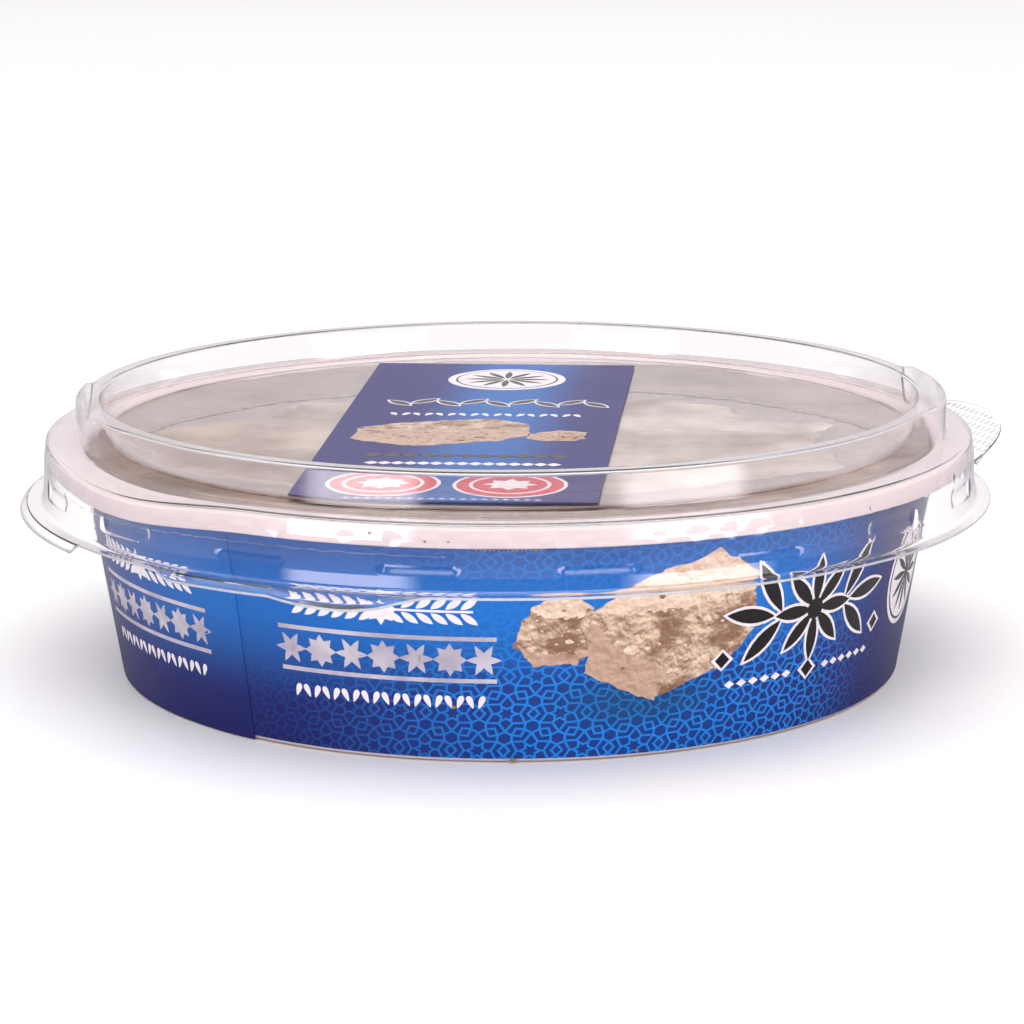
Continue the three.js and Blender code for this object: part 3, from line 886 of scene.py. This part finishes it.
def garland(white, silver, middle):
    """Sprig over a band of stars and lozenges over a row of seeds, centred on a bearing."""
    x = middle * ARC
    white.shape("bar", x, 21.4, 12.2, 0.16)
    for i in range(-6, 7):
        if i:
            lean = math.copysign(34, i)
            white.shape("leaf", x + i * 1.95, 22.45, 1.35, 0.48, lean)
            white.shape("leaf", x + i * 1.95, 20.35, 1.35, 0.48, -lean)
    white.shape("star", x, 21.4, 2.3, 2.3)
    silver.shape("bar", x, 17.6, 15.2, 0.3)
    silver.shape("bar", x, 11.7, 15.2, 0.3)
    for i in range(-3, 4):
        centre = x + i * 4.5
        if i % 2:
            for turn in (0, 60, 120):
                silver.shape("leaf", centre, 14.65, 2.35, 0.62, turn)
        else:
            silver.shape("star", centre, 14.65, 2.3, 2.3)
    for i in range(-9, 10):
        white.shape("seed", x + i * 1.45, 8.7, 0.95, 0.52, 68 if i % 2 else 112)


# Outlines of the two pictured lumps, and the seams between their faces, strewn with grains.
BLOCK = {
    "front": ((-9.6, 2.4), (-5.2, 5.4), (4.6, 8.6), (9.4, 5.6), (10.3, -0.8), (6.6, -4.4),
              (-2.2, -7.9), (-9.2, -4.4)),
    "top": ((-9.6, 2.6), (-5.2, 5.6), (4.6, 8.9), (9.6, 5.8), (9.7, 3.6), (1.0, 2.4)),
    "side": ((-9.7, 2.3), (-7.2, -1.2), (-3.6, -3.2), (-0.9, -4.6), (-2.2, -8.0), (-4.0, -7.5),
             (-10.0, -4.4)),
    "seams": ((-9.4, 2.5, 1.0, 2.3), (1.0, 2.3, 9.7, 3.6), (-9.4, 1.6, -3.6, -3.2),
              (-3.6, -3.2, -1.2, -7.4)),
}
LUMP = {
    "front": ((-9.4, 1.6), (-6.0, 6.6), (3.5, 8.4), (8.6, 6.6), (8.4, -4.0), (5.4, -7.6),
              (-5.0, -7.8), (-9.6, -3.4)),
    "top": ((-6.0, 6.4), (-1.0, 8.6), (4.0, 8.2), (8.7, 6.4), (4.5, 3.6), (-3.0, 4.2)),
    "side": ((-9.4, -2.6), (-5.2, -8.0), (5.2, -7.9), (8.2, -4.4), (2.0, -5.2), (-4.0, -4.4)),
    "seams": ((-5.4, 5.0, 4.0, 3.6), (4.0, 3.6, 8.0, 5.6), (-8.0, -3.4, -2.0, -4.8),
              (-2.0, -4.8, 7.4, -4.8)),
}


def slabs(light, mid, dark, x, y, size, form=BLOCK):
    """One broken lump of halva: a pale top, the rough broken front, a smooth cut side, and
    grains along the edges between them."""
    def at(points):
        return [(x + size * u, y + size * v) for u, v in points]
    mid.facet(at(form["front"]), 5, 9, 0.3, 1)
    light.facet(at(form["top"]), 3, 9, 0.3, 2)
    dark.facet(at(form["side"]), 8, 9, 0.3, 3)
    rng = random.Random(round(x * 10))
    # Grains along the edges between the faces, then over the broken front, never overlapping.
    laid = []
    for k in range(170):
        if k < 70:
            from_u, from_v, to_u, to_v = form["seams"][k % 4]
            share = rng.random()
            u, v = lerp(from_u, to_u, share), lerp(from_v, to_v, share)
        else:
            u, v = rng.uniform(-6, 9), rng.uniform(-5, 6.5)
        reach, lean = 0.18 + 0.6 * rng.random() ** 2, rng.uniform(-0.7, 0.7)
        close = any(math.hypot(u - a, v - b) < 1.9 * (reach + r) for a, b, r in laid)
        if close or abs(u) / 10 + abs(v) / 9 > 1.1:
            continue
        laid.append((u, v, reach))
        ink = (light, mid, light, dark)[k % 4]
        corners = []
        for i in range(6):
            out, way = reach * rng.uniform(0.6, 1.3), 1.047 * i + lean
            corners.append((u + 1.3 * out * math.cos(way), v + 0.8 * out * math.sin(way)))
        ink.facet(at(corners), rng.random() * 50, 1, 0.1, 4.2)


def rosette(ink, x, y, reach, petals, width, layer, grow=0):
    """Leaves set round a middle."""
    for i in range(petals):
        turn = 360 * i / petals + 90
        out, way = reach * 0.55, math.radians(turn)
        ink.shape("leaf", x + out * math.cos(way), y + out * math.sin(way), reach * 0.45, width,
                  turn, grow, layer)


def build_wrap_prints():
    """Everything printed on the wrap, each ink as a piece of its own."""
    white, silver, black, light, mid, dark = inks = [
        Print("wrap_print_" + name, ink) for name, ink in (
            ("white", WHITE_INK), ("silver", SILVER_INK), ("black", BLACK_INK),
            ("halva_top", CRUST_LIGHT), ("halva_face", CRUST_MIDDLE),
            ("halva_side", CRUST_DARK))
    ]
    for middle in (-16.2, 302.2):
        garland(white, silver, middle)
    slabs(light, mid, dark, 21.4 * ARC, 17.8, 1.22)
    slabs(light, mid, dark, 5.9 * ARC, 18.3, 0.56, LUMP)
    # Black arabesque of almond leaves with a white outline, the same on both hands.
    x, y = 43.5 * ARC, 17.6
    for ink, layer, grow in ((white, 6, 0.42), (black, 7, 0)):
        rosette(ink, x, y, 7.4, 8, 0.95, layer, grow)
        ink.shape("disc", x, y, 1.5, 1.5, 0, grow, layer)
        for hand in (-1, 1):
            for turn, out, length in ((58, 9.6, 4.3), (8, 11.6, 4.0), (-42, 9.8, 3.8)):
                bend = turn if hand > 0 else 180 - turn
                rad = math.radians(bend * 0.45 if hand > 0 else 180 - turn * 0.45)
                ink.shape("leaf", x + out * math.cos(rad), y + out * math.sin(rad), length,
                          1.05, bend, grow, layer)
            ink.shape("lozenge", x + hand * 15.6, y - 5.0, 1.15, 1.15, 0, grow, layer)
        ink.shape("lozenge", x, y - 8.6, 1.2, 1.2, 0, grow, layer)
    for i in range(-7, 8):
        if abs(i) > 1:
            white.shape("lozenge", x + i * 2.0, 8.9, 0.85, 0.55)
    # Round seal of the same leaves, black on white.
    x, y = 69.5 * ARC, 17.4
    white.shape("disc", x, y, 7.6, 7.6)
    black.shape("disc", x, y, 6.9, 6.9, layer=2)
    white.shape("disc", x, y, 6.55, 6.55, layer=3)
    rosette(black, x, y, 5.8, 12, 0.5, 4)
    black.shape("disc", x, y, 1.1, 1.1, layer=4)
    for ink in inks:
        ink.lay("printed_film", on_wrap, cut_every=2)


# --- lid label
STICKER_PLACE = Matrix.Translation((STICKER["x"], STICKER["y"], STICKER_TOP))
STICKER_PLACE @= Matrix.Rotation(math.radians(STICKER["turn"]), 4, "Z")


def build_lid_label():
    """Paper strip on the panel, its corners cut round where they meet the ring's foot."""
    bm = bmesh.new()
    bmesh.ops.create_grid(bm, x_segments=20, y_segments=52, size=0.5)
    reach = PANEL_RADIUS - 0.9
    for vert in bm.verts:
        vert.co.x *= STICKER["width"]
        vert.co.y *= STICKER["length"]
    # The ring's circle in the label's own place, cut as short straight chords.
    here = STICKER_PLACE.inverted() @ Vector((0, 0, STICKER_TOP))
    for i in range(0, 360, 3):
        aim = Vector((math.cos(math.radians(i)), math.sin(math.radians(i)), 0))
        bmesh.ops.bisect_plane(bm, geom=bm.verts[:] + bm.edges[:] + bm.faces[:], dist=1e-4,
                               plane_co=here + aim * reach, plane_no=aim, clear_outer=True)
    thicken(bm, STICKER_BOTTOM - STICKER_TOP)
    map_print(bm)
    for vert in bm.verts:
        vert.co = STICKER_PLACE @ vert.co
    piece("lid_label_paper", bm, [PAPER], "lid_label", sharp=50)


def build_lid_prints():
    """Everything printed on the lid's label, each ink as a piece of its own."""
    white, dark, red, light, mid, side = inks = [
        Print("lid_print_" + name, ink) for name, ink in (
            ("white", WHITE_INK), ("black", BLACK_INK), ("red", RED_INK),
            ("halva_top", CRUST_MIDDLE), ("halva_face", CRUST_DARK), ("halva_side", CRUST_DARK))
    ]
    # Seal at the far end.
    white.shape("disc", 1.2, 38, 9.2, 9.2)
    dark.shape("disc", 1.2, 38, 8.0, 8.0, layer=2)
    white.shape("disc", 1.2, 38, 7.7, 7.7, layer=3)
    rosette(dark, 1.2, 38, 6.6, 12, 0.55, 4)
    # Chain of leaves, dark with a pale outline, then a row of seeds.
    for ink, layer, grow in ((white, 1, 0.38), (dark, 2, 0)):
        for i in range(-4, 5):
            ink.shape("leaf", 1.5 + i * 3.7, 18 + (0.8 if i % 2 else -0.8), 2.6, 0.9,
                      48 if i % 2 else -48, grow, layer)
    for i in range(-8, 9):
        white.shape("seed", 0.5 + i * 1.7, 8.2, 1.1, 0.6, 68 if i % 2 else 112)
    slabs(light, mid, side, -4.6, -6.0, 1.26)
    slabs(light, mid, side, 12.2, -7.6, 0.46, LUMP)
    for i in range(-5, 6):
        dark.shape("lozenge", 0.5 + i * 2.6, -22.5, 1.5, 1.5)
    for i in range(-7, 8):
        white.shape("lozenge", 0.5 + i * 1.8, -28, 1.1, 1.1)
    for x in (-8.8, 8.2):
        for ink, layer, reach in ((white, 1, 7.7), (red, 2, 7.2), (white, 3, 5.5),
                                  (red, 4, 5.0)):
            ink.shape("disc", x, -41.5, reach, reach * 1.08, 0, 0, layer)
        white.shape("star", x, -41.5, 3.6, 3.6, layer=5)
    for i in range(-9, 10):
        white.shape("lozenge", i * 1.4, -50.9, 0.5, 0.4)
    for ink in inks:
        ink.lay("printed_paper", STICKER_PLACE.__matmul__)


# --- crumbs
def strew(name, made, spots, rounds):
    """Small broken grains, each at a bearing, height and radius; 0 lays it on the film."""
    rng = random.Random(11)
    bm = bmesh.new()
    for bearing, height, radius, size in spots:
        if not radius:
            radius = wall_radius(height) + LABEL_OFF + LABEL_SHEET + size * 0.4
        grain = bmesh.ops.create_icosphere(bm, subdivisions=rounds, radius=size)["verts"]
        centre = polar(bearing, radius, height)
        shift = Vector([rng.uniform(-9, 9) for _ in range(3)])
        for vert in grain:
            vert.co *= 1 + 0.55 * noise.noise(vert.co / size * 1.3 + shift)
            vert.co.z *= 0.75
            vert.co += centre
    piece(name, bm, [made])


def build_crumbs():
    """Crumbs caught between lid and rim, a few on the film, and a broken line of pale grains
    on the inside of the skirt, just under the rim at the left."""
    rng = random.Random(11)
    spots = [(-3.6 + 0.5 * i, 31.16, 66.95, rng.uniform(0.1, 0.2)) for i in range(16)]
    spots += [(-7.2, 8.0, 0, 0.3), (0.4, 0.5, 0, 0.34), (17.0, 1.1, 0, 0.24),
              (-15.4, 33.0, 67.1, 0.22), (-9.2, 32.2, 67.1, 0.17), (-6.6, 32.2, 67.1, 0.16)]
    strew("crumbs", CRUMB, spots, 2)
    pale_line = []
    for i in range(190):
        bearing = -67 + 0.32 * i
        level = 30.3 - 0.6 * sag(bearing) + 0.25 * noise.noise(Vector((bearing * 0.6, 0, 0)))
        pale_line.append((bearing, level, 67.13, rng.uniform(0.04, 0.1)))
    strew("pale_grain_line", PALE_GRAIN, pale_line, 1)


build_tub()
build_halva()
build_lid()
build_pull_tab()
build_wrap()
build_wrap_prints()
build_lid_label()
build_lid_prints()
build_crumbs()


# --- stage
def table_top(add, place):
    """Laminate, pressed: almost white and matt."""
    cloud = add("TexNoise", {"Vector": place, "Scale": 3, "Detail": 1})
    tone = add("Mix RGBA", (cloud, "#fbfafa", "#fefdfd"))
    pale = add("BsdfPrincipled", {"Base Color": tone, "Roughness": 0.6, "Specular IOR Level": 0.2})
    # Mirrored in the part it is dimmer, most of all close by, as in a dark room.
    wide = add("VectorMath MULTIPLY", (place, (1.7, 1, 1)))
    away = add("VectorMath LENGTH", (wide,))
    far = add("MapRange", (away, 0.09, 0.19))
    shaded = add("Mix RGBA", (far, "#a4a2a6", "#bebcc0"))
    dim = add("BsdfDiffuse", {"Color": shaded})
    mirrored = add("LightPath", give=11)
    return add("MixShader", (mirrored, pale, dim))


def build_stage():
    """Pale table top, large enough to fill the view and a hair under the tub's base."""
    bm = bmesh.new()
    bmesh.ops.create_grid(bm, x_segments=2, y_segments=2, size=3000)
    bmesh.ops.translate(bm, verts=bm.verts, vec=(0, 0, -0.02))
    to_object("table", bm, [material("table_pale_laminate", table_top)])


def soft_light(name, place, aim, width, height, power, colour="#ffffff", fade=0):
    """Area light; its glow fades out over the share `fade` of its width at either end."""
    lamp = bpy.data.lights.new(name, "AREA")
    lamp.shape = "RECTANGLE"
    lamp.size, lamp.size_y = width, height
    lamp.energy = power
    lamp.color = linear(colour)[:3]
    if fade:
        add = empty_tree(lamp)
        spot = add("NewGeometry", give=5)
        across = add("SeparateXYZ", (spot,))
        inward = add("Math PINGPONG", (across, 0.5))
        glow = add("MapRange SMOOTHSTEP", (inward, 0.0, fade))
        light = add("Emission", {"Color": "#ffffff", "Strength": glow})
        add("OutputLight", {"Surface": light})
    obj = bpy.data.objects.new(name, lamp)
    way = Vector(aim) - Vector(place)
    turn = way.to_track_quat("-Z", "Y").to_matrix().to_4x4()
    obj.matrix_world = Matrix.Translation(place) @ turn
    bpy.context.scene.collection.objects.link(obj)


def build_light():
    """Bright studio room, two broad lights above and two fading softboxes low in front."""
    scene = bpy.context.scene
    world = bpy.data.worlds.new("studio")
    scene.world = world
    add = empty_tree(world)
    way = add("TexCoord", give=0)
    back = add("SeparateXYZ", (way,), give=1)
    up = add("SeparateXYZ", (way,), give=2)
    # Soft white overhead and behind, dark low in front, and dark under the table's level.
    front = add("MapRange", (back, 0.25, -0.35))
    low = add("Mix RGBA", (front, "#e6e1e4", "#6a676a"))
    rise = add("MapRange", (up, 0.3, 0.75))
    sky = add("Mix RGBA", (rise, low, "#f8f6f8"))
    under = add("Math LESS_THAN", (up, -0.02))
    shade = add("Mix RGBA", (under, sky, "#b0aeb2"))
    left = add("SeparateXYZ", (way,))
    power = add("MapRange", (left, -0.9, 0.1, 0.86))
    light = add("Background", {"Color": shade, "Strength": power})
    add("OutputWorld", {"Surface": light})
    soft_light("overhead", (-0.1, 0.1, 1.7), (0, 0.1, 0), 2.4, 2.4, 16)
    soft_light("front_top", (0.0, -0.9, 0.8), (0, 0, 0.03), 1.1, 0.4, 3.2)
    soft_light("box_left", (-0.6, -0.8, 0.14), (0, 0, 0.03), 0.64, 0.26, 2.6, "#fff6f9", 0.22)
    soft_light("box_right", (0.7, -0.72, 0.14), (0, 0, 0.03), 0.74, 0.26, 2.9, "#fff6f9", 0.22)
    scene.view_settings.view_transform = "Standard"
    scene.view_settings.look = "None"
    scene.view_settings.exposure = 0
    scene.cycles.max_bounces = 40
    scene.cycles.transmission_bounces = 40
    scene.cycles.transparent_max_bounces = 24
    scene.cycles.glossy_bounces = 14


# Camera: focal length and image width in pixels, then its place round the pack.
FOCAL_PIXELS = 3394
IMAGE_PIXELS = 1024
SENSOR = 36
LOOK_DOWN = math.radians(12.34)
ROLL = math.radians(-0.225)
DISTANCE = 0.499
TARGET = Vector((0.0004, 0, 0.02151))


def build_camera():
    """Looks down 12.34 degrees from 0.5 m in front, as a long lens."""
    lens_data = bpy.data.cameras.new("camera")
    lens_data.sensor_width = SENSOR
    lens_data.lens = SENSOR * FOCAL_PIXELS / IMAGE_PIXELS
    lens_data.clip_start = 0.01
    camera = bpy.data.objects.new("camera", lens_data)
    back = Vector((0, -math.cos(LOOK_DOWN), math.sin(LOOK_DOWN)))
    tilt = Matrix.Rotation(math.pi / 2 - LOOK_DOWN, 4, "X") @ Matrix.Rotation(ROLL, 4, "Z")
    camera.matrix_world = Matrix.Translation(TARGET + DISTANCE * back) @ tilt
    bpy.context.scene.collection.objects.link(camera)
    bpy.context.scene.camera = camera


build_stage()
build_light()
build_camera()
